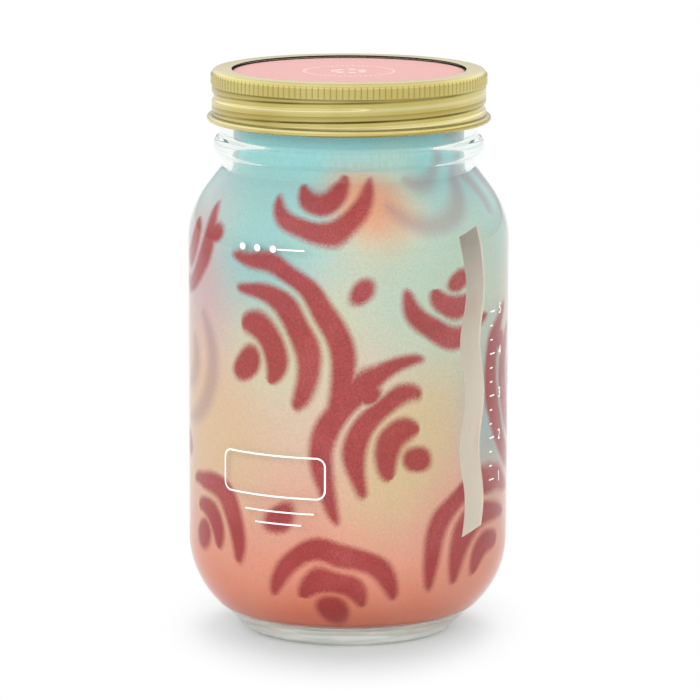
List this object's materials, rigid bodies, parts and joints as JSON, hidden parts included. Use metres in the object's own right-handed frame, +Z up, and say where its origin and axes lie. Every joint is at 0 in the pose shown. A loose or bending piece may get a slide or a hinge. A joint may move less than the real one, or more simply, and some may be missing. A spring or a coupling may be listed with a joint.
{
  "type": "hydroponic jar planter",
  "caption": "Wide-mouth glass jar planter with a colour-printed inner sleeve, gold screw-band lid, and a steel net pot with a felt wick inside.",
  "frame": {"origin": "on the jar's axis in the plane that its foot stands on", "axes": "+Z up along the jar's axis, -Y towards the front of the print, +X to the right seen from the front"},
  "size_m": [0.102, 0.102, 0.1799],
  "materials": {
    "glass": "clear, gloss",
    "printed_film": "satin print, airbrushed colours",
    "gold_metal": "satin, gold lacquer on tinplate",
    "tinplate": "satin",
    "pink_card": "matte",
    "silicone": "matte",
    "steel": "brushed",
    "felt": "needled felt",
    "coco_fibre": "rough pressed fibre",
    "pouch_fabric": "nonwoven",
    "sachet_foil": "crinkled film",
    "kraft_paper": "matte",
    "white_paper": "matte"
  },
  "bodies": {
    "jar": {"glass_jar": "glass", "printed_liner": "printed_film"},
    "net_pot": {"net_pot_rim": "steel", "net_pot_wall": "steel", "net_pot_floor": "steel", "wick_strip": "felt", "grow_medium": "coco_fibre", "carbon_pouch": "pouch_fabric", "plant_food_sachet": "sachet_foil", "seed_packet": "kraft_paper", "care_leaflet": "white_paper"},
    "lid_seal": {"lid_seal_ring": "silicone"},
    "lid": {"lid_disc": "tinplate", "lid_card": "pink_card"},
    "band": {"screw_band": "gold_metal"}
  },
  "joints": [
    {"name": "pot_lift", "type": "slide", "parent": "jar", "child": "net_pot", "axis": [0, 0, 1], "range_m": [0, 0.17]},
    {"name": "lid_lift", "type": "slide", "parent": "net_pot", "child": "lid_seal", "axis": [0, 0, 1], "range_m": [0, 0.09]},
    {"name": "lid_rise", "type": "slide", "parent": "lid_seal", "child": "lid", "axis": [0, 0, 1], "range_m": [0, 0.00737]},
    {"name": "band_turn", "type": "hinge", "parent": "lid", "child": "band", "pos_m": [0, 0, 0.17], "axis": [0, 0, 1], "range_deg": [0, 450]}
  ],
  "couplings": [
    {"joint": "lid_rise", "follows": "band_turn", "m_per_rad": 0.00093901}
  ]
}
